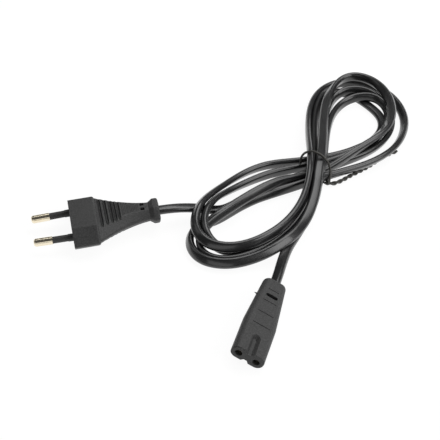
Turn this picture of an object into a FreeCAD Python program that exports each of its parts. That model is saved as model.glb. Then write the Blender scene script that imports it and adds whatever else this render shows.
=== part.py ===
"""Two-core mains lead: a figure-eight connector, a flat twin cord wound as a figure-eight hank, a wire
tie and a flat two-pin plug. Millimetres, +Z up. The origin lies under the middle of the connector,
whose nose points along -Y."""

import FreeCAD
import Part
import math
import os

# Connector: overmoulded body
connector_length = 46.5
nose_width = 15.6
nose_height = 7.5
straight_length = 19.5
rear_width = 11.2
rear_height = 7.0
side_round = 3.3
rear_round = 1.7
nose_edge_break = 0.35
flash_place = 36.0
flash_length = 1.8
flash_reach = 1.1
flash_thickness = 0.3
connector_roll = 25.0

# Connector: sockets, grooves and engraved grip lines
socket_spacing = 8.6
socket_bore = 3.4
front_wall = 2.0
nose_groove_width = 4.2
nose_groove_floor = 1.5
nose_groove_depth = 1.7
nose_groove_length = 8.8
line_count = 4
line_first = 16.9
line_pitch = 7.4
line_width = 0.4
line_depth = 0.25
line_inset = 3.5
slot_length = 5.9
slot_width = 1.9
slot_depth = 2.4

# Connector: contacts and their holder
contact_bore = 2.4
contact_wall = 0.3
contact_length = 12.0
contact_web = 1.0
contact_slit = 0.5
holder_wall = 0.65
holder_web_height = 2.0

# Cord: flat twin, with its cores and copper
cord_width = 5.4
cord_thickness = 3.3
core_spacing = 2.2
core_diameter = 1.9
strand_diameter = 1.5
crimp_wall = 0.3
crimp_length = 4.0
sheath_grip = 6.0
fit_gap = 0.03

# Plug: overmoulded body
plug_width = 35.3
plug_thickness = 13.7
plug_flat = 21.8
block_depth = 12.9
block_round = 1.1
nose_round = 1.2
plug_length = 43.7
grip_step = 1.25
neck_width = 11.8
neck_thickness = 7.8
neck_flat = 6.0
neck_end = 38.6
neck_round = 2.2
grip_taper = 1.65
bell_width = 14.8
bell_thickness = 10.6
bell_flare = 2.2
bell_edge = 1.1
bell_flash = 0.7

# Plug: grip grooves and relief windows
grip_groove_places = [14.85, 17.5, 20.0, 21.8, 23.7]
grip_groove_width = 1.7
grip_groove_floor = 0.7
grip_groove_depth = 1.5
grip_groove_run = 0.5
window_place = 35.5
window_spacing = 3.5
window_length = 2.0
window_width = 2.0
window_depth = 1.6

# Plug: pins, sleeves and the bridge that holds them
pin_diameter = 4.0
pin_length = 19.0
pin_spacing_root = 18.6
pin_spacing_tip = 17.5
pin_dome = 1.3
pin_shank = 2.8
sleeve_length = 10.0
sleeve_diameter = 3.4
sleeve_collar = 3.75
sleeve_collar_length = 2.4
bridge_front = 2.5
bridge_depth = 7.0
bridge_height = 5.6
bridge_side = 2.0

# Plug: where it lies
plug_face_x = -105.9
plug_face_y = 33.4
plug_heading = 209.2
plug_pitch = 2.3

# Cord: places where its free stretches run on from the plug and from the connector
exit_run = 11.3
plug_stretch = [(-54.0, 63.5, 6.6), (-45.5, 70.5, 4.4), (-37.5, 78.5, 3.1)]
connector_stretch = [(-0.8, 40.0, 4.4), (-1.1, 51.5, 3.3), (-0.2, 63.0, 2.9)]

# Hank: each loop's outer and inner outline, as a curve's four control places, from the crossing and back
near_loop_outer = [(-11.4, 122.1), (-124.5, 38.7), (19.3, -33.4), (6.3, 114.0)]
near_loop_inner = [(-16.5, 90.0), (-76.3, 38.1), (3.5, 19.6), (-6.9, 97.9)]
far_loop_outer = [(5.3, 108.3), (113.5, 187.6), (-63.5, 287.3), (-8.9, 121.3)]
far_loop_inner = [(7.4, 136.1), (50.6, 171.8), (-14.5, 221.5), (1.3, 143.0)]
hank_height = 12.4

# Wire tie round the crossing
tie_wire = 1.2
tie_x = -0.9
tie_y = 115.5
tie_heading = -13.0
tie_width = 16.0
tie_height = 11.4
tie_corner = 3.0
tie_gap = 0.05
tie_tail_diameter = 1.9
tie_tail = [(10.1, 111.2), (14.5, 115.8), (19.0, 123.1), (27.8, 134.0), (37.5, 147.8)]

OVER = 1.0
X_AXIS = FreeCAD.Vector(1, 0, 0)
Y_AXIS = FreeCAD.Vector(0, 1, 0)
Z_AXIS = FreeCAD.Vector(0, 0, 1)
ORIGIN = FreeCAD.Vector(0, 0, 0)
SIDES = {"left": 1, "right": -1}


def at(x, y, z):
    return FreeCAD.Vector(x, y, z)


def rounded_wire(corners, radius):
    """Closed flat outline through the corners, each rounded by the radius as far as its sides allow."""
    trims = []
    for index, corner in enumerate(corners):
        before = corners[index - 1] - corner
        after = corners[(index + 1) % len(corners)] - corner
        half = before.getAngle(after) / 2
        room = 0.49 * min(before.Length, after.Length)
        reach = min(radius / math.tan(half), room)
        bend = reach * math.tan(half)
        before.normalize()
        after.normalize()
        middle = before + after
        middle.normalize()
        crown = corner + middle * (bend / math.sin(half) - bend)
        trims.append((corner + before * reach, crown, corner + after * reach))
    edges = []
    for index, (start, crown, end) in enumerate(trims):
        edges.append(Part.Arc(start, crown, end).toShape())
        following = trims[(index + 1) % len(trims)][0]
        edges.append(Part.LineSegment(end, following).toShape())
    return Part.Wire(edges)


def edges_on(shape, direction, place):
    """Edges that lie wholly in the plane square to the direction at that place."""
    chosen = []
    for edge in shape.Edges:
        middle = edge.valueAt((edge.FirstParameter + edge.LastParameter) / 2)
        ends = [vertex.Point for vertex in edge.Vertexes] + [middle]
        if all(abs(end.dot(direction) - place) < 1e-4 for end in ends):
            chosen.append(edge)
    return chosen


def cylinder(start, end, diameter):
    along = end - start
    return Part.makeCylinder(diameter / 2, along.Length, start, along)


def slanted_rod(start, end, diameter, direction):
    """Rod between two places, trimmed at both by planes square to the direction."""
    along = end - start
    reach = along.Length + diameter
    rise = along.dot(direction)
    along.normalize()
    rod = cylinder(start - along * diameter, end + along * diameter, diameter)
    return rod.common(Part.makeCylinder(reach, rise, start, direction))


def fused(shapes):
    whole = shapes[0].multiFuse(shapes[1:])
    return whole.removeSplitter()


# Connector, drawn about its own axis: its nose points along -Y and d is the distance behind its face
def connector_y(d):
    return d - connector_length / 2


def connector_width(d):
    share = max(0.0, (d - straight_length) / (connector_length - straight_length))
    return nose_width + share * (rear_width - nose_width)


def connector_height(d):
    share = max(0.0, (d - straight_length) / (connector_length - straight_length))
    return nose_height + share * (rear_height - nose_height)


def connector_section(d):
    half_width = connector_width(d) / 2
    half_height = connector_height(d) / 2
    y = connector_y(d)
    corners = [
        at(half_width, y, half_height),
        at(-half_width, y, half_height),
        at(-half_width, y, -half_height),
        at(half_width, y, -half_height),
    ]
    return rounded_wire(corners, side_round)


def nose_groove():
    """Cutter for the waist groove: a channel with sloping walls that ends in a round."""
    top = nose_height / 2
    floor = top - nose_groove_depth
    slope = (nose_groove_width - nose_groove_floor) / 2 / nose_groove_depth
    mouth = nose_groove_width / 2 + slope * OVER
    end_y = connector_y(nose_groove_length)
    front_y = connector_y(-OVER)
    right = [at(nose_groove_floor / 2, end_y, floor), at(mouth, end_y, top + OVER)]
    left = [at(-mouth, end_y, top + OVER), at(-nose_groove_floor / 2, end_y, floor)]
    middle = [at(0, end_y, top + OVER), at(0, end_y, floor)]
    channel = Part.Face(Part.makePolygon(right + left + right[:1]))
    channel = channel.extrude(Y_AXIS * (front_y - end_y))
    half = Part.Face(Part.makePolygon(right + middle + right[:1]))
    end = half.revolve(at(0, end_y, 0), Z_AXIS, 360)
    return channel.fuse(end)


def line_place(index):
    return line_first + index * line_pitch


def grip_line(d):
    half = connector_width(d) / 2 - line_inset
    top = connector_height(d) / 2
    corner = at(-half, connector_y(d) - line_width / 2, top - line_depth)
    return Part.makeBox(2 * half, line_width, line_depth + OVER, corner)


def relief_slot():
    """Round-ended slot midway between the last two grip lines."""
    d = (line_place(line_count - 2) + line_place(line_count - 1)) / 2
    floor = connector_height(d) / 2 - slot_depth
    corners = [
        at(x * slot_length / 2, connector_y(d) + y * slot_width / 2, floor)
        for x, y in ((1, 1), (-1, 1), (-1, -1), (1, -1))
    ]
    return Part.Face(rounded_wire(corners, slot_width / 2)).extrude(Z_AXIS * (slot_depth + OVER))


contact_front = front_wall + fit_gap
contact_rear = contact_front + contact_length
contact_outer = contact_bore + 2 * contact_wall
crimp_bore = strand_diameter + 2 * fit_gap
crimp_outer = crimp_bore + 2 * crimp_wall
contact_crimp_front = contact_rear + contact_web
contact_crimp_rear = contact_crimp_front + crimp_length
connector_cord_end = connector_length - sheath_grip


def on_contact(side, d):
    return at(SIDES[side] * socket_spacing / 2, connector_y(d), 0)


def contact(side):
    """Rolled sleeve, slit along its top, with a crimp barrel behind a closed web."""
    sleeve = cylinder(on_contact(side, contact_front), on_contact(side, contact_crimp_front), contact_outer)
    barrel = cylinder(on_contact(side, contact_rear), on_contact(side, contact_crimp_rear), crimp_outer)
    mouth = cylinder(on_contact(side, contact_front - OVER), on_contact(side, contact_rear), contact_bore)
    wire_seat = cylinder(
        on_contact(side, contact_crimp_front), on_contact(side, contact_crimp_rear + OVER), crimp_bore
    )
    slit_corner = on_contact(side, contact_front - OVER) - X_AXIS * (contact_slit / 2)
    slit = Part.makeBox(contact_slit, contact_length + OVER, contact_outer, slit_corner)
    return sleeve.fuse(barrel).cut(mouth).cut(wire_seat).cut(slit)


def contact_space(side):
    """Room that one contact takes up in the mouldings, the way for the mating pin included."""
    sleeve = cylinder(
        on_contact(side, front_wall), on_contact(side, contact_crimp_front), contact_outer + 2 * fit_gap
    )
    barrel = cylinder(on_contact(side, contact_rear), on_contact(side, contact_crimp_rear), crimp_outer)
    return sleeve.fuse(barrel)


def holder_outline():
    """Two tubes joined by a web, without the bores."""
    tube = contact_outer + 2 * fit_gap + 2 * holder_wall
    tubes = [
        cylinder(on_contact(side, front_wall), on_contact(side, contact_rear), tube) for side in SIDES
    ]
    corner = at(-socket_spacing / 2, connector_y(front_wall), -holder_web_height / 2)
    web = Part.makeBox(socket_spacing, contact_rear - front_wall, holder_web_height, corner)
    return fused(tubes + [web])


def contact_holder():
    holder = holder_outline()
    for side in SIDES:
        holder = holder.cut(contact_space(side))
    return holder


def connector_core(side):
    start = on_contact(side, contact_crimp_rear)
    end = at(SIDES[side] * core_spacing / 2, connector_y(connector_cord_end), 0)
    return slanted_rod(start, end, core_diameter, Y_AXIS)


def connector_strands(side):
    return cylinder(
        on_contact(side, contact_crimp_front), on_contact(side, contact_crimp_rear), strand_diameter
    )


def cord_face(centre, across, up, gap):
    """Flat round-edged section of the cord, with its width along across."""
    half_width = cord_width / 2 + gap
    half_thick = cord_thickness / 2 + gap
    corners = [
        centre + across * (x * half_width) + up * (y * half_thick)
        for x, y in ((1, 1), (-1, 1), (-1, -1), (1, -1))
    ]
    return Part.Face(rounded_wire(corners, half_thick))


def flash(root, along, out, length, reach):
    """Sliver of moulding flash on the parting line: a thin tooth rooted in the wall."""
    base = root - out * reach
    tooth = [base - along * (length / 2), base + along * (length / 2), root + out * reach]
    lift = Z_AXIS * (flash_thickness / 2)
    corners = [corner - lift for corner in tooth]
    return Part.Face(Part.makePolygon(corners + corners[:1])).extrude(Z_AXIS * flash_thickness)


def connector_flash():
    root = at(-connector_width(flash_place) / 2, connector_y(flash_place), 0)
    return flash(root, Y_AXIS, -X_AXIS, flash_length, flash_reach)


def connector_body():
    stations = [connector_section(d) for d in (0, straight_length, connector_length)]
    body = Part.makeLoft(stations, True, True)
    body = body.makeFillet(rear_round, edges_on(body, Y_AXIS, connector_y(connector_length)))
    body = body.makeChamfer(nose_edge_break, edges_on(body, Y_AXIS, connector_y(0)))
    body = body.fuse(connector_flash())
    groove = nose_groove()
    body = body.cut(groove)
    body = body.cut(groove.rotated(ORIGIN, Y_AXIS, 180))
    for index in range(line_count):
        body = body.cut(grip_line(line_place(index)))
    body = body.cut(relief_slot())
    body = body.cut(holder_outline())
    for side in SIDES:
        body = body.cut(cylinder(on_contact(side, -OVER), on_contact(side, front_wall), socket_bore))
        body = body.cut(contact_space(side))
        body = body.cut(connector_core(side))
    pocket = cord_face(at(0, connector_y(connector_cord_end), 0), X_AXIS, Z_AXIS, fit_gap)
    return body.cut(pocket.extrude(Y_AXIS * (sheath_grip + OVER)))


# The connector lies on the lower edge of its nose, turned about its own axis
nose_arc = min(side_round, 0.49 * nose_height)
connector_axis_height = (
    (nose_width / 2 - nose_arc) * math.sin(math.radians(connector_roll))
    + (nose_height / 2 - nose_arc) * math.cos(math.radians(connector_roll))
    + nose_arc
)


def laid_connector(shape):
    return shape.rotated(ORIGIN, Y_AXIS, connector_roll).translated(Z_AXIS * connector_axis_height)


# Plug, drawn about its own axis: its pins point along +X and d is the distance behind its face
def plug_section(d, width, flat, thickness, radius):
    corners = [
        at(-d, flat / 2, thickness / 2),
        at(-d, width / 2, 0),
        at(-d, flat / 2, -thickness / 2),
        at(-d, -flat / 2, -thickness / 2),
        at(-d, -width / 2, 0),
        at(-d, -flat / 2, thickness / 2),
    ]
    return rounded_wire(corners, radius)


def grip_size(d):
    """Width, top flat, thickness and corner radius of the grip at a place between block and neck."""
    share = (d - block_depth) / (neck_end - block_depth)
    narrowing = (1 - share) ** grip_taper
    width = neck_width + (plug_width - 2 * grip_step - neck_width) * narrowing
    flat = neck_flat + (plug_flat - neck_flat) * narrowing
    start = plug_thickness - 2 * grip_step
    thickness = start + (neck_thickness - start) * share
    radius = nose_round + (neck_round - nose_round) * share
    return width, flat, thickness, radius


def grip_groove(d, side):
    """Cutter for one round-ended groove with sloping walls across the grip's upper or lower flat."""
    flat, thickness = grip_size(d)[1:3]
    top = thickness / 2
    half = flat / 2 + grip_groove_run
    slope = (grip_groove_width - grip_groove_floor) / 2 / grip_groove_depth
    levels = [(top - grip_groove_depth, grip_groove_floor / 2)]
    levels.append((top + OVER, grip_groove_width / 2 + slope * OVER))
    wires = []
    for level, wide in levels:
        corners = [
            at(x * wide - d, y * (half + wide), level) for x, y in ((1, 1), (-1, 1), (-1, -1), (1, -1))
        ]
        wires.append(rounded_wire(corners, wide))
    groove = Part.makeLoft(wires, True, True)
    return groove if side > 0 else groove.rotated(ORIGIN, X_AXIS, 180)


def relief_window(offset, side):
    thickness = grip_size(window_place)[2]
    low = thickness / 2 - window_depth
    corner = at(-window_place - window_length / 2, offset - window_width / 2, low)
    box = Part.makeBox(window_length, window_width, window_depth + OVER, corner)
    return box if side > 0 else box.rotated(ORIGIN, X_AXIS, 180)


def plug_shell():
    """Outside of the plug: pin block, tapering grip and bell-shaped outlet."""
    block = Part.Face(plug_section(0, plug_width, plug_flat, plug_thickness, nose_round))
    block = block.extrude(X_AXIS * -block_depth)
    block = block.makeFillet(block_round, edges_on(block, X_AXIS, -block_depth))
    steps = 5
    stations = []
    for step in range(steps + 1):
        d = block_depth + (neck_end - block_depth) * step / steps
        stations.append(plug_section(d, *grip_size(d)))
    grip = Part.makeLoft(stations, True, False)
    inner = grip_size(block_depth)
    root = Part.Face(plug_section(block_depth - block_round, *inner)).extrude(X_AXIS * -block_round)
    ratio = neck_flat / neck_width
    bell_stations = [(neck_end, neck_width, neck_thickness)]
    bell_stations.append((neck_end + bell_flare, bell_width, bell_thickness))
    bell_stations.append((plug_length - bell_edge, bell_width, bell_thickness))
    bell = [plug_section(d, wide, wide * ratio, thick, neck_round) for d, wide, thick in bell_stations]
    cone = Part.makeLoft(bell[:2], True, True)
    rim = Part.Face(bell[1]).extrude(X_AXIS * (neck_end + bell_flare - plug_length))
    rim = rim.makeFillet(bell_edge, edges_on(rim, X_AXIS, -plug_length))
    tooth_root = at(bell_edge - plug_length, -bell_width / 2, 0)
    tooth = flash(tooth_root, X_AXIS, -Y_AXIS, 2 * bell_flash, bell_flash)
    return fused([block, root, grip, cone, rim, tooth])


def pin_place(side, ahead):
    """Place on a pin's axis; the two axes close in slightly towards the tips."""
    closing = (pin_spacing_root - pin_spacing_tip) / 2 / pin_length
    return at(ahead, SIDES[side] * (pin_spacing_root / 2 - closing * ahead), 0)


def pin_direction(side):
    along = pin_place(side, pin_length) - pin_place(side, 0)
    along.normalize()
    return along


def pin_rod(side, start, end, diameter):
    return cylinder(pin_place(side, start), pin_place(side, end), diameter)


pin_crimp_front = -(bridge_front + bridge_depth)
pin_crimp_rear = pin_crimp_front - crimp_length - contact_web
plug_cord_end = plug_length - sheath_grip


def pin(side):
    """Plated pin: thick domed end, thinner shank under the sleeve, crimp barrel at the back."""
    head = pin_rod(side, sleeve_length, pin_length, pin_diameter)
    tip = edges_on(head, pin_direction(side), pin_place(side, pin_length).dot(pin_direction(side)))
    head = head.makeFillet(min(pin_dome, 0.45 * pin_diameter), tip)
    shank = pin_rod(side, pin_crimp_front, sleeve_length, pin_shank)
    barrel = pin_rod(side, pin_crimp_rear, pin_crimp_front, crimp_outer)
    seat = pin_rod(side, pin_crimp_rear - OVER, pin_crimp_rear + crimp_length, crimp_bore)
    return fused([head, shank, barrel]).cut(seat)


def pin_sleeve(side):
    """Insulating sleeve with a thicker collar at the plug's face, seated against the bridge."""
    tube = pin_rod(side, -bridge_front, sleeve_length - fit_gap, sleeve_diameter)
    collar = pin_rod(side, -bridge_front, sleeve_collar_length, sleeve_collar)
    bore = pin_rod(side, -bridge_front - OVER, sleeve_length + OVER, pin_shank + 2 * fit_gap)
    return fused([tube, collar]).cut(bore).cut(bridge_outline())


def bridge_outline():
    width = pin_spacing_root + sleeve_collar + 2 * bridge_side
    corner = at(-bridge_front - bridge_depth, -width / 2, -bridge_height / 2)
    return Part.makeBox(bridge_depth, width, bridge_height, corner)


def pin_bridge():
    bridge = bridge_outline()
    for side in SIDES:
        bore = pin_rod(side, pin_crimp_front - OVER, OVER, pin_shank + 2 * fit_gap)
        bridge = bridge.cut(bore)
    return bridge


def crimp_space(side):
    """Room that one pin's crimp barrel takes up in the moulding."""
    return pin_rod(side, pin_crimp_rear, pin_crimp_front, max(crimp_outer, core_diameter) + fit_gap)


def core_outline(side):
    """Insulated core from inside the crimp barrel to the cord."""
    start = pin_place(side, pin_crimp_rear + crimp_wall)
    end = at(-plug_cord_end, SIDES[side] * core_spacing / 2, 0)
    return slanted_rod(start, end, core_diameter, -X_AXIS)


def plug_core(side):
    return core_outline(side).cut(crimp_space(side))


def plug_strands(side):
    start = pin_place(side, pin_crimp_rear + crimp_length)
    end = pin_place(side, pin_crimp_rear)
    return cylinder(start, end, strand_diameter)


def plug_body():
    body = plug_shell()
    for d in grip_groove_places:
        for face in (1, -1):
            body = body.cut(grip_groove(d, face))
    for offset in (window_spacing / 2, -window_spacing / 2):
        for face in (1, -1):
            body = body.cut(relief_window(offset, face))
    body = body.cut(bridge_outline())
    for side in SIDES:
        body = body.cut(pin_rod(side, -bridge_front, OVER, sleeve_collar))
        body = body.cut(pin_rod(side, pin_crimp_front, -bridge_front, pin_shank))
        body = body.cut(crimp_space(side))
        body = body.cut(core_outline(side))
    pocket = cord_face(at(-plug_cord_end, 0, 0), Y_AXIS, Z_AXIS, fit_gap)
    return body.cut(pocket.extrude(X_AXIS * -(sheath_grip + OVER)))


# The plug lies on the lower front edge of its block, its neck held a little off the floor by the cord
plug_axis_height = plug_thickness / 2 * math.cos(math.radians(plug_pitch))


def laid_plug(shape):
    turned = shape.rotated(ORIGIN, Y_AXIS, plug_pitch).rotated(ORIGIN, Z_AXIS, plug_heading)
    return turned.translated(at(plug_face_x, plug_face_y, plug_axis_height))


def plug_axis_place(d):
    """Place on the laid plug's axis, behind its face."""
    heading = math.radians(plug_heading)
    pitch = math.radians(plug_pitch)
    back = d * math.cos(pitch)
    x = plug_face_x - back * math.cos(heading)
    y = plug_face_y - back * math.sin(heading)
    return at(x, y, plug_axis_height + d * math.sin(pitch))


# Cord
def route_wire(points):
    """Straight runs joined by tangent arcs, each as large as its two runs allow."""
    edges = []
    start = points[0]
    radii = []
    for before, corner, after in zip(points, points[1:], points[2:]):
        back = before - corner
        ahead = after - corner
        half = (math.pi - back.getAngle(ahead)) / 2
        reach = 0.45 * min(back.Length, ahead.Length)
        radius = reach / math.tan(half)
        radii.append(radius)
        back.normalize()
        ahead.normalize()
        middle = back + ahead
        middle.normalize()
        crown = corner + middle * (radius / math.cos(half) - radius)
        entry = corner + back * reach
        leave = corner + ahead * reach
        edges.append(Part.LineSegment(start, entry).toShape())
        edges.append(Part.Arc(entry, crown, leave).toShape())
        start = leave
    edges.append(Part.LineSegment(start, points[-1]).toShape())
    print("radii", [round(radius) for radius in radii])
    return Part.Wire(edges)


def cord_along(points, across):
    """Flat cord along a route, with its width along across where it starts."""
    path = route_wire(points)
    along = points[1] - points[0]
    along.normalize()
    section = cord_face(points[0], across, along.cross(across), 0)
    tube = path.makePipeShell([section.OuterWire], True, False)
    print("volume over section times length", round(tube.Volume / section.Area / path.Length, 4))
    return tube


def loop_face(places):
    curve = Part.BezierCurve()
    curve.setPoles([at(x, y, 0) for x, y in places])
    arc = curve.toShape()
    ends = [vertex.Point for vertex in arc.Vertexes]
    return Part.Face(Part.Wire([arc, Part.LineSegment(ends[1], ends[0]).toShape()]))


def tie_frame(shape):
    """Turns and moves a shape drawn about the tie's middle, with its loop in the XZ plane."""
    return shape.rotated(ORIGIN, Z_AXIS, tie_heading).translated(at(tie_x, tie_y, 0))


def tie_loop_places(grow):
    """Corners of the tie's loop round the crossing: its wire's middle line, or that line moved by grow."""
    low = tie_wire / 2 - grow
    high = tie_wire / 2 + tie_height + grow
    half = tie_width / 2 + grow
    cut = tie_corner + grow * (2 - math.sqrt(2))
    right = [at(half - cut, 0, low), at(half, 0, low + cut), at(half, 0, high - cut), at(half - cut, 0, high)]
    left = [at(-place.x, 0, place.z) for place in reversed(right)]
    return right + left


def wire_rod(places, diameter):
    """Round wire along straight runs with mitred corners."""
    path = Part.makePolygon(places)
    ring = Part.Wire(Part.makeCircle(diameter / 2, places[0], places[1] - places[0]))
    return path.makePipeShell([ring], True, False, 1)


def cord_hank():
    """Both loops of the wound cord as one body, drawn in where the tie passes round it."""
    loops = []
    for outer, inner in ((near_loop_outer, near_loop_inner), (far_loop_outer, far_loop_inner)):
        loops.append(loop_face(outer).cut(loop_face(inner)).extrude(Z_AXIS * hank_height))
    hank = fused(loops)
    depth = tie_wire + 2 * tie_gap
    corners = tie_loop_places(-tie_wire / 2 - tie_gap)
    core = Part.Face(Part.makePolygon(corners + corners[:1])).extrude(Y_AXIS * depth)
    reach = max(nose_width, 2 * tie_width)
    band = Part.makeBox(2 * reach, depth, 3 * hank_height, at(-reach, 0, -hank_height))
    channel = band.cut(core).translated(Y_AXIS * (-depth / 2))
    hank = hank.cut(tie_frame(channel))
    for room in tie_tail_room():
        hank = hank.cut(room)
    return hank


def tie_tail_places():
    """Corners of the tie's tail, from the lower corner of its loop out along the floor."""
    height = tie_tail_diameter / 2
    foot = tie_frame(Part.Vertex(at(tie_width / 2 - tie_corner / 2, 0, height))).Point
    return [foot] + [at(x, y, height) for x, y in tie_tail]


def tie_tail_room():
    """Square-cornered room for each straight of the tail under the edge of the wound cord."""
    half = tie_tail_diameter / 2 + tie_gap
    places = tie_tail_places()
    rooms = []
    for start, end in zip(places, places[1:]):
        along = end - start
        heading = math.degrees(math.atan2(along.y, along.x))
        corner = at(-half, -half, -OVER)
        room = Part.makeBox(along.Length + 2 * half, 2 * half, 2 * half + OVER, corner)
        rooms.append(room.rotated(ORIGIN, Z_AXIS, heading).translated(at(start.x, start.y, 0)))
    return rooms


def twist_tie():
    """Wire loop round the crossing, and the tail where its two ends are twisted together, as one rod."""
    corners = tie_loop_places(0)
    start = (corners[0] + corners[-1]) * 0.5
    loop = tie_frame(wire_rod([start] + corners + [start], tie_wire))
    return fused([loop, wire_rod(tie_tail_places(), tie_tail_diameter)])


def export(name, shape):
    if shape.ShapeType != "Solid" and len(shape.Solids) == 1:
        shape = shape.Solids[0]
    print(name, len(shape.Solids), shape.isValid(), round(shape.Volume, 2))
    shape.exportStep(f"parts/{name}.step")


def main():
    os.makedirs("parts", exist_ok=True)
    export("connector_body", laid_connector(connector_body()))
    export("contact_holder", laid_connector(contact_holder()))
    export("plug_body", laid_plug(plug_body()))
    export("pin_bridge", laid_plug(pin_bridge()))
    for side in SIDES:
        export(f"contact_{side}", laid_connector(contact(side)))
        export(f"connector_core_{side}", laid_connector(connector_core(side)))
        export(f"connector_strands_{side}", laid_connector(connector_strands(side)))
        export(f"pin_{side}", laid_plug(pin(side)))
        export(f"pin_sleeve_{side}", laid_plug(pin_sleeve(side)))
        export(f"plug_core_{side}", laid_plug(plug_core(side)))
        export(f"plug_strands_{side}", laid_plug(plug_strands(side)))

    hank = cord_hank()
    export("cord_hank", hank)
    export("twist_tie", twist_tie())

    plug_route = [plug_axis_place(plug_cord_end), plug_axis_place(plug_cord_end + exit_run)]
    plug_route += [at(*place) for place in plug_stretch]
    heading = math.radians(plug_heading)
    plug_across = at(-math.sin(heading), math.cos(heading), 0)
    export("cord_to_plug", cord_along(plug_route, plug_across).cut(hank))

    start_y = connector_y(connector_cord_end)
    connector_route = [at(0, start_y, connector_axis_height)]
    connector_route.append(at(0, start_y + exit_run, connector_axis_height))
    connector_route += [at(*place) for place in connector_stretch]
    roll = math.radians(connector_roll)
    connector_across = at(math.cos(roll), 0, -math.sin(roll))
    export("cord_to_connector", cord_along(connector_route, connector_across).cut(hank))


main()
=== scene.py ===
import math

import bmesh
import bpy
import numpy as np
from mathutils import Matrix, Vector
from mathutils.bvhtree import BVHTree


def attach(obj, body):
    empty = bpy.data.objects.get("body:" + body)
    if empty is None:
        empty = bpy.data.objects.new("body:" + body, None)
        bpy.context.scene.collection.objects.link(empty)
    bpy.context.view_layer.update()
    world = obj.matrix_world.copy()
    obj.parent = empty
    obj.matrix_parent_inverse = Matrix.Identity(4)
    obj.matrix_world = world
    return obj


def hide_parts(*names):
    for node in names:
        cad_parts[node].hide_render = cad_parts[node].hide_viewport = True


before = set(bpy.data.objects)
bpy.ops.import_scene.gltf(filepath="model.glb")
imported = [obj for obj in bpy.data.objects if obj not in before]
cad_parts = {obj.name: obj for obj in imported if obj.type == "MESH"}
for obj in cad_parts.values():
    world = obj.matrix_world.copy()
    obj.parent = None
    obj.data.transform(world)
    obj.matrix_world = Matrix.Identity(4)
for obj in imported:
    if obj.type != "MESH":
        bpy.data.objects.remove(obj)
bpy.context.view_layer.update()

MM = 0.001
scene = bpy.context.scene
scene.view_settings.view_transform = "Standard"

# Camera: places, lens and sensor in millimetres, the range it sees in metres
EYE = np.array([70.5, -293.5, 322.1])
AIM = np.array([-39.4, 65.9, 0.0])
LENS = 80.19
SENSOR = 36.0
NEAREST, FARTHEST = 0.01, 40.0


def add_camera():
    data = bpy.data.cameras.new("camera")
    data.lens = LENS
    data.sensor_width = SENSOR
    data.sensor_fit = "AUTO"
    data.clip_start = NEAREST
    data.clip_end = FARTHEST
    data.dof.use_dof = False
    camera = bpy.data.objects.new("camera", data)
    scene.collection.objects.link(camera)
    camera.location = Vector(EYE * MM)
    camera.rotation_euler = Vector((AIM - EYE) * MM).to_track_quat("-Z", "Y").to_euler()
    scene.camera = camera


add_camera()

# Sizes shared with the solids, in millimetres
CONNECTOR_LENGTH = 46.5
CONNECTOR_AXIS = 5.61
REAR = CONNECTOR_LENGTH / 2
PLUG_FACE = (-105.9, 33.4)
PLUG_HEADING = math.radians(209.2)
PLUG_PITCH = math.radians(2.3)
PLUG_THICKNESS = 13.7
PLUG_AXIS = PLUG_THICKNESS / 2 * math.cos(PLUG_PITCH)
PLUG_LENGTH = 43.7
CORD_WIDTH = 5.4
CORD_THICK = 3.3
CORD_ROUND = CORD_THICK / 2
CORD_HALF = (CORD_WIDTH - CORD_THICK) / 2
SHEATH_GRIP = 6.0
EXIT_RUN = 11.3


def plug_axis_place(d):
    """Place on the plug's axis, d behind its face."""
    back = d * math.cos(PLUG_PITCH)
    return (
        PLUG_FACE[0] - back * math.cos(PLUG_HEADING),
        PLUG_FACE[1] - back * math.sin(PLUG_HEADING),
        PLUG_AXIS + d * math.sin(PLUG_PITCH),
    )


# Where the cord runs: x, y and z of each place, and how far the cord's width leans from upright to the left
# of the way it runs, in degrees. First the stretch from the plug, then on under the hank along the floor.
PLUG_STRETCH = [
    (*plug_axis_place(PLUG_LENGTH - SHEATH_GRIP), 90),
    (*plug_axis_place(PLUG_LENGTH - SHEATH_GRIP + EXIT_RUN), 90),
    (-54.0, 63.4, 6.6, 86), (-48.4, 66.7, 4.6, 85), (-43.4, 69.2, 2.8, 86), (-39.4, 72.2, 1.9, 88),
    (-35.9, 76.8, 1.7, 88), (-32.2, 82.2, 1.7, 88), (-28.0, 87.8, 1.8, 86), (-23.3, 93.4, 2.0, 78),
    (-16.2, 101.2, 2.2, 58), (-6.3, 111.2, 2.6, 32),
]
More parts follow.
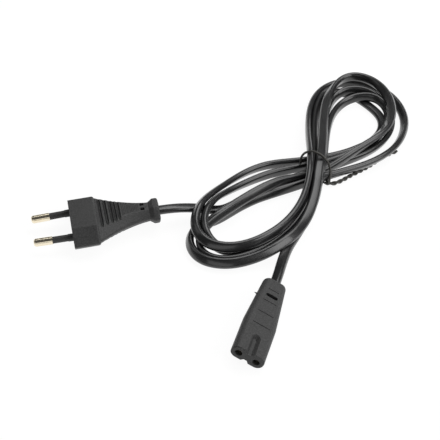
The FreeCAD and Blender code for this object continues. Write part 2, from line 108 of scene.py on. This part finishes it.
# Turns of the hank, in the order they were wound: e, c, a, b and f lie in the far loop, the others in the
# near one.
TURNS = {
    "e": [
        (3.9, 121.0, 2.7, 8), (11.2, 128.4, 2.7, -8), (16.2, 133.3, 2.8, -17), (20.7, 138.6, 2.8, -22),
        (25.1, 145.4, 2.7, -24), (28.5, 153.4, 2.7, -25), (30.2, 162.1, 2.7, -24), (29.9, 171.3, 2.7, -23),
        (27.7, 180.2, 2.7, -22), (23.7, 188.1, 2.9, -21), (18.4, 193.8, 3.5, -19), (12.4, 196.4, 4.5, -16),
        (6.3, 196.2, 5.6, -13), (0.6, 194.2, 5.7, -10), (-4.0, 190.7, 4.7, -7), (-6.8, 184.8, 3.6, -4),
        (-7.5, 176.4, 3.2, -2), (-7.1, 166.4, 3.2, -0), (-6.0, 155.3, 3.8, -0), (-4.3, 143.1, 5.1, 0),
        (-2.3, 131.0, 6.5, 0), (-0.8, 120.5, 7.3, 0),
    ],
    "s4": [
        (0.1, 111.9, 7.3, 0), (0.9, 104.2, 6.5, 0), (1.4, 96.7, 5.6, -0), (1.4, 89.2, 4.8, -0),
        (0.7, 81.7, 4.1, -1), (-0.8, 74.2, 3.6, -2), (-2.9, 66.7, 3.2, -4), (-5.8, 59.5, 2.9, -3),
        (-9.5, 52.7, 2.8, 3), (-13.9, 46.7, 2.8, 13), (-18.5, 41.7, 2.7, 24), (-23.5, 37.9, 2.7, 33),
        (-28.8, 35.8, 2.6, 38), (-33.9, 35.6, 2.6, 39), (-38.2, 37.3, 2.6, 37), (-41.5, 40.6, 2.7, 31),
        (-43.5, 45.2, 2.7, 24), (-44.1, 49.6, 3.1, 22), (-43.5, 53.4, 4.3, 22), (-41.6, 57.0, 5.8, 22),
        (-38.9, 60.9, 7.0, 22), (-35.9, 65.8, 7.5, 24), (-32.7, 72.0, 7.4, 26), (-29.0, 78.7, 7.3, 28),
        (-24.9, 85.2, 7.5, 28), (-20.7, 91.1, 7.5, 24), (-16.8, 96.6, 6.9, 16), (-12.2, 101.9, 5.5, 4),
        (-5.0, 108.3, 3.7, -11),
    ],
    "c": [
        (2.9, 115.7, 4.0, -10), (8.7, 122.0, 5.8, -8), (13.2, 127.8, 7.5, -9), (17.7, 134.4, 8.6, -14),
        (22.4, 141.3, 9.6, -26), (26.3, 148.0, 10.3, -42), (28.8, 154.7, 10.6, -55), (29.7, 161.8, 10.8, -62),
        (29.3, 169.7, 10.8, -65), (27.4, 178.5, 10.6, -58), (23.9, 187.8, 10.1, -46), (19.0, 196.0, 9.4, -33),
        (12.9, 202.2, 8.8, -20), (6.5, 205.4, 8.4, -10), (0.5, 205.2, 8.3, -0), (-4.3, 201.8, 8.0, 10),
        (-7.5, 195.9, 7.6, 28), (-9.2, 188.3, 7.0, 48), (-9.5, 179.9, 6.8, 66), (-8.7, 170.6, 7.0, 78),
        (-7.2, 160.3, 7.6, 84), (-5.2, 148.8, 8.7, 87), (-2.8, 136.5, 10.0, 88), (-0.7, 124.7, 10.9, 89),
        (0.7, 115.3, 11.2, 89),
    ],
    "s3": [
        (1.4, 108.4, 10.7, 90), (2.3, 102.2, 10.0, 92), (3.3, 95.5, 9.5, 95), (3.9, 88.5, 8.9, 100),
        (4.1, 81.5, 8.2, 105), (3.9, 74.5, 7.4, 113), (2.9, 67.4, 6.8, 122), (1.1, 60.2, 6.8, 131),
        (-1.6, 53.6, 6.9, 137), (-5.2, 47.9, 6.3, 140), (-9.5, 43.2, 5.2, 141), (-14.2, 39.1, 4.4, 142),
        (-19.3, 35.5, 3.9, 143), (-24.7, 32.7, 3.7, 144), (-30.5, 31.3, 3.6, 146), (-36.6, 31.8, 3.3, 148),
        (-42.1, 34.6, 3.0, 150), (-46.4, 39.5, 2.7, 153), (-48.8, 45.4, 2.7, 155), (-49.1, 50.8, 2.8, 157),
        (-47.6, 54.8, 2.8, 160), (-44.9, 57.5, 2.8, 166), (-41.9, 59.9, 2.8, 173), (-39.0, 63.3, 3.0, 182),
        (-36.0, 68.5, 3.0, 192), (-32.7, 74.8, 2.8, 202), (-29.0, 80.5, 2.7, 208), (-24.9, 85.4, 2.8, 210),
        (-20.6, 89.3, 3.0, 208), (-16.5, 92.8, 3.2, 203), (-11.6, 97.5, 3.0, 194), (-4.0, 105.0, 2.7, 180),
    ],
    "a": [
        (6.2, 111.5, 4.7, 160), (14.8, 118.9, 4.8, 153), (21.1, 124.6, 4.7, 150), (26.6, 130.8, 4.7, 149),
        (31.6, 138.2, 4.7, 148), (35.4, 146.7, 4.6, 146), (37.3, 157.0, 3.8, 144), (37.5, 168.0, 2.7, 142),
        (36.2, 177.2, 2.6, 142), (33.2, 185.8, 2.6, 143), (28.7, 193.6, 2.7, 148), (22.5, 200.4, 2.7, 154),
        (15.0, 205.4, 2.8, 161), (7.3, 207.7, 2.8, 166), (0.0, 207.2, 2.8, 170), (-6.2, 204.4, 2.8, 173),
        (-11.3, 199.8, 2.8, 175), (-15.1, 193.4, 2.9, 178), (-17.3, 185.4, 3.0, 179), (-17.8, 175.7, 3.2, 180),
        (-16.7, 164.5, 3.6, 180), (-14.0, 151.2, 5.0, 180), (-10.4, 136.4, 7.7, 180), (-6.6, 122.7, 10.3, 180),
        (-4.4, 113.1, 11.4, 180),
    ],
    "s1": [
        (-3.0, 106.6, 11.2, 180), (-2.0, 100.5, 10.5, 180), (-1.3, 93.5, 9.8, 179), (-1.0, 85.9, 9.2, 177),
        (-1.5, 78.4, 8.8, 175), (-2.8, 71.1, 8.5, 172), (-4.9, 64.0, 8.3, 168), (-7.8, 57.5, 8.2, 164),
        (-11.5, 51.5, 8.1, 161), (-15.9, 46.6, 7.6, 158), (-20.9, 43.0, 7.0, 156), (-26.2, 40.5, 6.7, 153),
        (-31.6, 39.2, 7.0, 148), (-36.8, 39.3, 7.6, 143), (-41.5, 41.7, 8.0, 140), (-45.4, 46.2, 8.0, 138),
        (-48.0, 51.6, 8.2, 138), (-49.3, 57.2, 8.8, 138), (-49.4, 63.2, 9.4, 138), (-48.5, 70.6, 8.5, 138),
        (-46.9, 78.9, 6.4, 138), (-44.6, 86.9, 4.6, 138), (-41.6, 94.3, 3.7, 143), (-38.1, 101.3, 3.1, 149),
        (-33.8, 107.5, 2.8, 156), (-28.7, 112.4, 2.8, 163), (-23.4, 115.8, 2.8, 168), (-17.2, 118.8, 2.8, 169),
        (-8.4, 123.2, 2.8, 167),
    ],
    "b": [
        (1.9, 129.4, 2.7, 165), (10.5, 136.2, 2.7, 165), (16.2, 143.0, 2.7, 156), (20.6, 149.8, 2.5, 142),
        (24.1, 157.5, 2.3, 125), (25.6, 165.5, 2.0, 110), (24.5, 172.9, 1.9, 98), (21.5, 178.8, 1.8, 92),
        (17.3, 183.6, 1.8, 90), (12.6, 187.8, 1.8, 90), (7.4, 191.6, 1.8, 92), (2.0, 194.4, 1.9, 98),
        (-3.3, 195.2, 2.2, 109), (-8.0, 193.3, 2.5, 122), (-11.4, 189.6, 2.8, 133), (-13.3, 185.0, 3.0, 140),
        (-13.8, 180.5, 2.9, 143), (-13.7, 173.4, 2.7, 144), (-12.8, 165.1, 2.6, 146), (-10.9, 154.8, 3.0, 150),
        (-8.3, 142.5, 4.4, 156), (-5.6, 129.9, 6.2, 164), (-3.5, 119.3, 7.3, 171),
    ],
    "s2": [
        (-2.2, 111.0, 7.2, 176), (-1.4, 103.8, 6.2, 179), (-1.1, 96.5, 5.0, 179), (-1.5, 89.2, 4.0, 176),
        (-2.4, 81.9, 3.3, 172), (-4.0, 74.8, 2.9, 168), (-6.2, 67.6, 2.8, 166), (-9.1, 60.6, 2.8, 165),
        (-12.9, 54.1, 2.8, 164), (-17.2, 48.5, 2.8, 163), (-21.8, 44.4, 2.7, 160), (-26.7, 42.2, 2.8, 156),
        (-31.5, 41.3, 3.8, 151), (-35.9, 42.0, 5.7, 148), (-39.7, 44.9, 7.2, 146), (-42.7, 49.8, 8.1, 146),
        (-44.6, 55.4, 8.5, 145), (-45.2, 61.0, 8.8, 143), (-44.8, 67.1, 8.6, 141), (-43.7, 74.5, 7.0, 139),
        (-41.5, 81.6, 4.9, 142), (-38.3, 88.0, 3.9, 148), (-34.4, 94.1, 3.3, 156), (-29.8, 100.3, 2.9, 164),
        (-24.9, 105.6, 2.8, 172), (-20.0, 109.6, 2.8, 177), (-14.5, 113.5, 2.8, 176), (-6.9, 118.8, 2.8, 171),
    ],
    "f": [
        (2.4, 124.9, 2.8, 169), (9.7, 130.7, 3.4, 176), (14.8, 136.0, 4.2, 177), (19.7, 142.1, 5.1, 174),
        (24.4, 149.7, 5.8, 169), (27.5, 158.5, 6.2, 163), (28.2, 167.8, 6.2, 159), (26.7, 176.8, 5.8, 157),
        (23.4, 184.2, 5.6, 158), (19.0, 188.6, 5.9, 161), (13.8, 189.9, 6.1, 165), (8.4, 188.8, 5.8, 169),
        (3.6, 186.5, 4.8, 172), (-0.2, 182.2, 3.9, 175), (-2.8, 175.4, 3.5, 177), (-3.8, 166.1, 3.8, 179),
        (-3.2, 154.8, 4.6, 180), (-1.6, 142.5, 5.8, 180), (0.3, 130.7, 7.1, 180), (1.7, 121.0, 7.7, 180),
    ],
}
# Last the stretch down from the crossing into the connector.
CONNECTOR_STRETCH = [
    (2.4, 113.2, 7.4, 180), (3.0, 105.9, 6.4, 179), (3.9, 98.0, 5.5, 178), (4.2, 89.9, 4.8, 174),
    (3.7, 81.9, 4.0, 169), (2.7, 74.5, 3.3, 161), (1.4, 67.8, 2.7, 146), (-0.0, 60.8, 2.5, 121),
    (-1.1, 51.5, 3.3, 94), (-0.8, 40.0, 4.4, 74),
    (0.0, REAR - SHEATH_GRIP + EXIT_RUN, CONNECTOR_AXIS, 65),
    (0.0, REAR - SHEATH_GRIP, CONNECTOR_AXIS, 65),
]


def route():
    """All places of the cord, from the plug to the connector."""
    places = list(PLUG_STRETCH)
    for turn in TURNS.values():
        places += turn
    return places + CONNECTOR_STRETCH


# Steps of a smooth line from one control point to the next, and points round the cord's section
LINE_STEPS = 8
SECTION_POINTS = 28


def cord_axes(points, leans):
    """Direction of the cord at each place, and the direction of its width."""
    along = np.gradient(points, axis=0)
    along /= np.linalg.norm(along, axis=1)[:, None]
    left = np.cross([0, 0, 1], along)
    left /= np.linalg.norm(left, axis=1)[:, None]
    up = np.cross(along, left)
    wide = np.cos(leans)[:, None] * up + np.sin(leans)[:, None] * left
    return along, wide


def smooth_line(points, name):
    """Closely spaced points, in metres, of the smooth spline that the control points shape."""
    data = bpy.data.curves.new(name, "CURVE")
    data.dimensions = "3D"
    data.resolution_u = LINE_STEPS
    spline = data.splines.new("NURBS")
    spline.points.add(len(points) - 1)
    for target, place in zip(spline.points, points):
        target.co = (*(np.asarray(place) * MM), 1.0)
    spline.order_u = 3
    spline.use_endpoint_u = True
    holder = bpy.data.objects.new(name, data)
    scene.collection.objects.link(holder)
    bpy.context.view_layer.update()
    mesh = bpy.data.meshes.new_from_object(holder)
    line = np.array([tuple(vertex.co) for vertex in mesh.vertices])
    bpy.data.objects.remove(holder)
    bpy.data.curves.remove(data)
    bpy.data.meshes.remove(mesh)
    return line


def swept(name, rings, closed=False):
    """Mesh through rings of points, capped at both ends unless it is closed."""
    mesh = bpy.data.meshes.new(name)
    bm = bmesh.new()
    loops = [[bm.verts.new(point) for point in ring] for ring in rings]
    pairs = list(zip(loops, loops[1:]))
    if closed:
        pairs.append((loops[-1], loops[0]))
    for near, far in pairs:
        for k in range(len(near)):
            following = (k + 1) % len(near)
            bm.faces.new((near[k], near[following], far[following], far[k]))
    if not closed:
        bm.faces.new(list(reversed(loops[0])))
        bm.faces.new(loops[-1])
    bmesh.ops.recalc_face_normals(bm, faces=bm.faces)
    bm.to_mesh(mesh)
    bm.free()
    for polygon in mesh.polygons:
        polygon.use_smooth = True
    piece = bpy.data.objects.new(name, mesh)
    scene.collection.objects.link(piece)
    return piece


def flat_section():
    """Round-edged flat outline of the cord: offsets along its width and its thickness."""
    outline = []
    for k in range(SECTION_POINTS):
        angle = 2 * math.pi * (k + 0.5) / SECTION_POINTS
        wide = CORD_ROUND * math.sin(angle) + math.copysign(CORD_HALF, math.sin(angle))
        outline.append((wide, CORD_ROUND * math.cos(angle)))
    return outline


def add_cord():
    """The cord and the line it follows; its leans are smoothed just as its places are."""
    places = route()
    line = smooth_line([place[:3] for place in places], "cord_line")
    lean_line = smooth_line([(place[3], 0, 0) for place in places], "lean_line")
    leans = np.radians(lean_line[:, 0] / MM)
    along, wide = cord_axes(line, leans)
    thick = np.cross(along, wide)
    outline = flat_section()
    rings = []
    for place, across, through in zip(line, wide, thick):
        rings.append([place + (a * across + b * through) * MM for a, b in outline])
    return swept("cord", rings), line


cord, cord_line = add_cord()
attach(cord, "root")
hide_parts("cord_to_plug", "cord_hank", "cord_to_connector")

# Wire tie: a loop drawn round the crossing and a tail of its two ends twisted together.
# The wire's radius comes first.
TIE_WIRE = 0.62
TIE_LOOP = [
    (7.2, 108.6, 1.4), (7.4, 108.8, 4.8), (7.4, 110.6, 7.3), (6.5, 113.2, 8.9), (4.8, 114.2, 11.9),
    (1.9, 114.8, 14.2), (-1.1, 115.5, 15.2), (-4.3, 116.3, 15.2), (-7.7, 117.1, 13.1), (-9.5, 117.5, 10.6),
    (-10.3, 117.7, 8.0), (-10.3, 117.7, 4.8), (-9.1, 117.4, 1.3), (-3.8, 116.2, 0.7), (2.5, 111.5, 0.7),
    (6.0, 109.2, 0.8),
]
TIE_TAIL = [
    (5.2, 110.0, 1.7), (7.5, 109.3, 1.4), (10.2, 110.4, 1.3), (13.3, 113.8, 1.3), (16.3, 118.7, 1.3),
    (19.5, 122.9, 1.3), (22.5, 127.0, 1.3), (25.5, 131.5, 1.3), (28.7, 137.8, 1.3), (32.2, 143.1, 1.3),
    (34.7, 146.2, 1.3), (37.1, 148.5, 1.4),
]
TWIST_PITCH = 7.5
TWIST_SPREAD = 1.75
TAIL_STEPS = 330
SHORTER_END = 9
ACROSS_START = (0.3, 0.2, 0.93)


def round_tube(name, line, radius, count=10, closed=False):
    """Round wire that follows points in metres; radius in millimetres."""
    along = np.gradient(line, axis=0)
    if closed:
        along = np.roll(line, -1, axis=0) - np.roll(line, 1, axis=0)
    along /= np.linalg.norm(along, axis=1)[:, None]
    side = np.cross(along[0], ACROSS_START)
    side /= np.linalg.norm(side)
    rings = []
    for place, direction in zip(line, along):
        side = side - direction * (side @ direction)
        side /= np.linalg.norm(side)
        up = np.cross(direction, side)
        ring = []
        for k in range(count):
            angle = 2 * math.pi * k / count
            ring.append(place + radius * MM * (math.cos(angle) * side + math.sin(angle) * up))
        rings.append(ring)
    return swept(name, rings, closed)


def joined(pieces, name):
    """One piece made of several meshes."""
    bpy.ops.object.select_all(action="DESELECT")
    for piece in pieces:
        piece.select_set(True)
    bpy.context.view_layer.objects.active = pieces[0]
    bpy.ops.object.join()
    pieces[0].name = name
    return pieces[0]


def add_tie():
    """Closed wire loop, and two wires wound round the tail's line, one a little shorter."""
    middle = (np.array(TIE_LOOP[0]) + np.array(TIE_LOOP[-1])) / 2
    loop_line = smooth_line([middle, *TIE_LOOP, middle], "tie_line")
    loop = round_tube("twist_tie_loop", loop_line[:-1], TIE_WIRE, closed=True)
    tail = smooth_line(TIE_TAIL, "tail_line")
    spans = np.linalg.norm(np.diff(tail, axis=0), axis=1)
    travel = np.concatenate([[0], np.cumsum(spans)]) / MM
    steps = np.linspace(0, travel[-1], TAIL_STEPS)
    fine = np.array([np.interp(steps, travel, tail[:, axis]) for axis in range(3)]).T
    direction = np.gradient(fine, axis=0)
    direction /= np.linalg.norm(direction, axis=1)[:, None]
    left = np.cross([0, 0, 1], direction)
    left /= np.linalg.norm(left, axis=1)[:, None]
    up = np.cross(direction, left)
    reach = 0.5 * TIE_WIRE * TWIST_SPREAD
    wires = [loop]
    for number in (0, 1):
        phase = 2 * math.pi * steps / TWIST_PITCH + math.pi * number
        offset = np.cos(phase)[:, None] * left + np.sin(phase)[:, None] * up
        wire_line = (fine + offset * reach * MM)[:TAIL_STEPS - number * SHORTER_END]
        wires.append(round_tube(f"twist_tie_end_{number}", wire_line, TIE_WIRE))
    return joined(wires, "twist_tie_wire")


tie = add_tie()
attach(tie, "root")
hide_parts("twist_tie")

# Fine ribs across the upper and lower flats of the plug's grip: from and to which distance behind its face,
# their size, and how far and how closely the body is felt for its flats
RIB_FROM, RIB_TO = 25.7, 33.5
RIB_COUNT = 11
RIB_RADIUS = 0.21
RIB_SUNK = 0.03
RIB_SIDES = 8
RIB_REACH = 8.0
RIB_STEP = 0.25
FLAT_ENOUGH = 0.97


def add_ribs():
    """Low bars that follow the flats of the plug's body, as far as these stay flat."""
    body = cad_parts["plug_body"]
    surface = BVHTree.FromObject(body, bpy.context.evaluated_depsgraph_get())
    place, inverse = body.matrix_world, body.matrix_world.inverted()
    back = (Vector(plug_axis_place(1)) - Vector(plug_axis_place(0))).normalized()
    across = Vector((0, 0, 1)).cross(back).normalized()
    above = back.cross(across)
    bars = []
    for d in np.linspace(RIB_FROM, RIB_TO, RIB_COUNT):
        middle = Vector(plug_axis_place(float(d)))
        for out in (above, -above):
            line = []
            for reach in np.arange(-RIB_REACH, RIB_REACH + RIB_STEP, RIB_STEP):
                origin = (middle + across * float(reach) + out * PLUG_LENGTH) * MM
                hit, normal, _, _ = surface.ray_cast(inverse @ origin, inverse.to_3x3() @ -out)
                if hit is None:
                    continue
                if (place.to_3x3() @ normal).normalized().dot(out) > FLAT_ENOUGH:
                    line.append(place @ hit - out * RIB_SUNK * MM)
            bar_line = np.array(line[1:-1])
            bars.append(round_tube(f"rib_{len(bars)}", bar_line, RIB_RADIUS, RIB_SIDES))
    return joined(bars, "plug_grip_ribs")


ribs = add_ribs()
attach(ribs, "root")


# Materials: every look is procedural, on object coordinates in metres
NOISE_ROUGHNESS = 0.55
MOULD_CLOUD, MOULD_GRAIN = 90.0, 1500.0
SHEATH_CLOUD = 60.0
PLASTIC_CLOUD = 240.0


def new_material(name):
    material = bpy.data.materials.new(name)
    material.use_nodes = True
    nodes = material.node_tree.nodes
    links = material.node_tree.links
    nodes.clear()
    output = nodes.new("ShaderNodeOutputMaterial")
    shader = nodes.new("ShaderNodeBsdfPrincipled")
    links.new(shader.outputs[0], output.inputs["Surface"])
    place = nodes.new("ShaderNodeTexCoord").outputs["Object"]
    return material, nodes, links, shader, place


def noise(nodes, links, place, scale, detail):
    texture = nodes.new("ShaderNodeTexNoise")
    texture.inputs["Scale"].default_value = scale
    texture.inputs["Detail"].default_value = detail
    texture.inputs["Roughness"].default_value = NOISE_ROUGHNESS
    links.new(place, texture.inputs["Vector"])
    return texture.outputs["Fac"]


def ramp(nodes, links, value, stops):
    node = nodes.new("ShaderNodeValToRGB")
    elements = node.color_ramp.elements
    while len(elements) < len(stops):
        elements.new(0.5)
    for element, (position, colour) in zip(elements, stops):
        element.position = position
        element.color = (*colour, 1.0)
    links.new(value, node.inputs["Fac"])
    return node.outputs["Color"]


def grey(*levels):
    return [(level, level, level) for level in levels]


def mixed(nodes, links, first, second, share):
    node = nodes.new("ShaderNodeMix")
    node.data_type = "RGBA"
    node.inputs[0].default_value = share
    links.new(first, node.inputs[6])
    links.new(second, node.inputs[7])
    return node.outputs[2]


def spread(nodes, links, value, low, high):
    node = nodes.new("ShaderNodeMapRange")
    node.inputs["To Min"].default_value = low
    node.inputs["To Max"].default_value = high
    links.new(value, node.inputs["Value"])
    return node.outputs[0]


def bump(nodes, links, shader, height, strength, distance):
    node = nodes.new("ShaderNodeBump")
    node.inputs["Strength"].default_value = strength
    node.inputs["Distance"].default_value = distance
    links.new(height, node.inputs["Height"])
    links.new(node.outputs[0], shader.inputs["Normal"])


def moulding(name, dark, light, roughness):
    """Soft black moulding with a fine spark-eroded grain."""
    material, nodes, links, shader, place = new_material(name)
    broad = noise(nodes, links, place, MOULD_CLOUD, 4.0)
    fine = noise(nodes, links, place, MOULD_GRAIN, 2.0)
    middle = [(d + l) / 2 for d, l in zip(dark, light)]
    base = ramp(nodes, links, broad, [(0.3, dark), (0.55, middle), (0.75, light)])
    darker = [0.55 * level for level in dark]
    lighter = [1.35 * level for level in light]
    speck = ramp(nodes, links, fine, [(0.35, darker), (0.7, lighter)])
    links.new(mixed(nodes, links, base, speck, 0.5), shader.inputs["Base Color"])
    gloss = spread(nodes, links, broad, roughness - 0.06, roughness + 0.08)
    links.new(gloss, shader.inputs["Roughness"])
    shader.inputs["Specular IOR Level"].default_value = 0.45
    bump(nodes, links, shader, fine, 0.5, 0.0002)
    return material


def cord_sheath():
    """Satin black sheath: a broad sheen, and a thin clear skin that gives the bright edges."""
    material, nodes, links, shader, place = new_material("cord_sheath_look")
    broad = noise(nodes, links, place, SHEATH_CLOUD, 3.0)
    dark, light = (0.009, 0.0092, 0.0097), (0.015, 0.0153, 0.016)
    base = ramp(nodes, links, broad, [(0.3, dark), (0.7, light)])
    links.new(base, shader.inputs["Base Color"])
    links.new(spread(nodes, links, broad, 0.29, 0.38), shader.inputs["Roughness"])
    shader.inputs["Specular IOR Level"].default_value = 0.55
    shader.inputs["Coat Weight"].default_value = 0.6
    shader.inputs["Coat Roughness"].default_value = 0.14
    return material


def metal(name, tones, roughness, scale, stretch):
    """Plated or rolled metal with a faint drift of tone, drawn out where stretch is under 1."""
    material, nodes, links, shader, place = new_material(name)
    mapping = nodes.new("ShaderNodeMapping")
    mapping.inputs["Scale"].default_value = stretch
    links.new(place, mapping.inputs["Vector"])
    lines = noise(nodes, links, mapping.outputs[0], scale, 3.0)
    base = ramp(nodes, links, lines, [(0.3, tones[0]), (0.7, tones[1])])
    links.new(base, shader.inputs["Base Color"])
    gloss = spread(nodes, links, lines, roughness - 0.02, roughness + 0.03)
    links.new(gloss, shader.inputs["Roughness"])
    shader.inputs["Metallic"].default_value = 1.0
    return material


def plain_plastic(name, dark, light, roughness):
    """Smooth plastic with hardly any grain."""
    material, nodes, links, shader, place = new_material(name)
    cloud = noise(nodes, links, place, PLASTIC_CLOUD, 3.0)
    links.new(ramp(nodes, links, cloud, [(0.3, dark), (0.7, light)]), shader.inputs["Base Color"])
    gloss = spread(nodes, links, cloud, roughness - 0.05, roughness + 0.07)
    links.new(gloss, shader.inputs["Roughness"])
    bump(nodes, links, shader, noise(nodes, links, place, MOULD_GRAIN, 2.0), 0.1, 0.00006)
    return material


def dress(piece, material):
    piece.data.materials.clear()
    piece.data.materials.append(material)


connector_look = moulding("connector_look", *grey(0.042, 0.062), 0.56)
plug_look = moulding("plug_look", *grey(0.041, 0.059), 0.52)
sheath_look = cord_sheath()
pin_look = metal("pin_look", [(0.88, 0.78, 0.59), (0.95, 0.88, 0.72)], 0.17, 45.0, (1, 1, 1))
brass_look = metal("brass_look", [(0.62, 0.46, 0.20), (0.80, 0.63, 0.33)], 0.3, 900.0, (1, 0.2, 1))
copper_look = metal("copper_look", [(0.72, 0.34, 0.18), (0.87, 0.47, 0.28)], 0.3, 1800.0, (1, 0.2, 1))
sleeve_look = plain_plastic("sleeve_look", *grey(0.034, 0.050), 0.48)
insert_look = plain_plastic("insert_look", *grey(0.03, 0.05), 0.5)
blue_look = plain_plastic("blue_core_look", (0.02, 0.08, 0.36), (0.04, 0.13, 0.48), 0.4)
brown_look = plain_plastic("brown_core_look", (0.10, 0.035, 0.012), (0.16, 0.06, 0.022), 0.4)
tie_look = plain_plastic("tie_look", (0.040, 0.038, 0.034), (0.070, 0.067, 0.060), 0.42)

LOOKS = {
    "connector_body": connector_look, "plug_body": plug_look, "contact_holder": insert_look,
    "pin_bridge": insert_look, "connector_core_left": blue_look, "connector_core_right": brown_look,
    "plug_core_left": brown_look, "plug_core_right": blue_look,
}
for side in ("left", "right"):
    LOOKS[f"contact_{side}"] = brass_look
    LOOKS[f"connector_strands_{side}"] = copper_look
    LOOKS[f"plug_strands_{side}"] = copper_look
    LOOKS[f"pin_{side}"] = pin_look
    LOOKS[f"pin_sleeve_{side}"] = sleeve_look
for name, look in LOOKS.items():
    dress(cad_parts[name], look)
dress(cord, sheath_look)
dress(tie, tie_look)
dress(ribs, plug_look)


# Floor, light and surroundings, in metres and watts
FLOOR_REACH = 12.0
FLOOR_LEVEL = -0.0002
FLOOR_LIT = 0.5
FLOOR_SHADE = 0.12
FLOOR_GLOW = 0.93
WORLD_GLOW = 0.08
MIDDLE = (-0.03, 0.09, 0.0)
LAMPS = [
    # name, place, aim, size and power
    ("overhead", (0.10, 0.50, 0.86), MIDDLE, (1.1, 0.6), 5.6),
    ("right", (0.77, -0.04, 0.49), MIDDLE, (0.7, 0.6), 4.0),
    ("left", (-0.75, 0.20, 0.45), MIDDLE, (0.35, 0.6), 0.35),
    ("front", (-0.05, -0.85, 0.34), MIDDLE, (1.0, 0.3), 1.0),
    ("behind", (0.0, 1.30, 0.09), (-0.03, 0.09, 0.05), (2.2, 0.16), 2.0),
]


def either(nodes, links, first, second):
    """One where either of two values is one."""
    node = nodes.new("ShaderNodeMath")
    node.operation = "MAXIMUM"
    links.new(first, node.inputs[0])
    links.new(second, node.inputs[1])
    return node.outputs[0]


def paper(nodes, level):
    node = nodes.new("ShaderNodeBsdfDiffuse")
    node.inputs["Color"].default_value = (level, level, level, 1)
    return node.outputs[0]


def add_floor():
    """Sheet that lights the part as plain paper does, and is seen white with a faint shadow."""
    mesh = bpy.data.meshes.new("floor")
    bm = bmesh.new()
    corners = []
    for x, y in ((-1, -1), (1, -1), (1, 1), (-1, 1)):
        corners.append(bm.verts.new((x * FLOOR_REACH, y * FLOOR_REACH, FLOOR_LEVEL)))
    bm.faces.new(corners)
    bm.to_mesh(mesh)
    bm.free()
    floor = bpy.data.objects.new("floor", mesh)
    scene.collection.objects.link(floor)
    material = bpy.data.materials.new("floor_look")
    material.use_nodes = True
    nodes = material.node_tree.nodes
    links = material.node_tree.links
    nodes.clear()
    output = nodes.new("ShaderNodeOutputMaterial")
    path = nodes.new("ShaderNodeLightPath").outputs
    seen = either(nodes, links, path["Is Camera Ray"], path["Is Glossy Ray"])
    seen = either(nodes, links, seen, path["Is Transmission Ray"])
    glow = nodes.new("ShaderNodeEmission")
    glow.inputs["Strength"].default_value = FLOOR_GLOW
    sheet = nodes.new("ShaderNodeAddShader")
    links.new(paper(nodes, FLOOR_SHADE), sheet.inputs[0])
    links.new(glow.outputs[0], sheet.inputs[1])
    mix = nodes.new("ShaderNodeMixShader")
    links.new(seen, mix.inputs[0])
    links.new(paper(nodes, FLOOR_LIT), mix.inputs[1])
    links.new(sheet.outputs[0], mix.inputs[2])
    links.new(mix.outputs[0], output.inputs["Surface"])
    mesh.materials.append(material)


def add_world():
    world = bpy.data.worlds.new("studio")
    scene.world = world
    world.use_nodes = True
    background = world.node_tree.nodes["Background"]
    background.inputs["Color"].default_value = (1, 1, 1, 1)
    background.inputs["Strength"].default_value = WORLD_GLOW


def add_lamp(name, place, aim, size, power):
    data = bpy.data.lights.new(name, "AREA")
    data.shape = "RECTANGLE"
    data.size, data.size_y = size
    data.energy = power
    lamp = bpy.data.objects.new(name, data)
    scene.collection.objects.link(lamp)
    lamp.location = place
    lamp.rotation_euler = (Vector(aim) - Vector(place)).to_track_quat("-Z", "Y").to_euler()


add_floor()
add_world()
for lamp in LAMPS:
    add_lamp(*lamp)
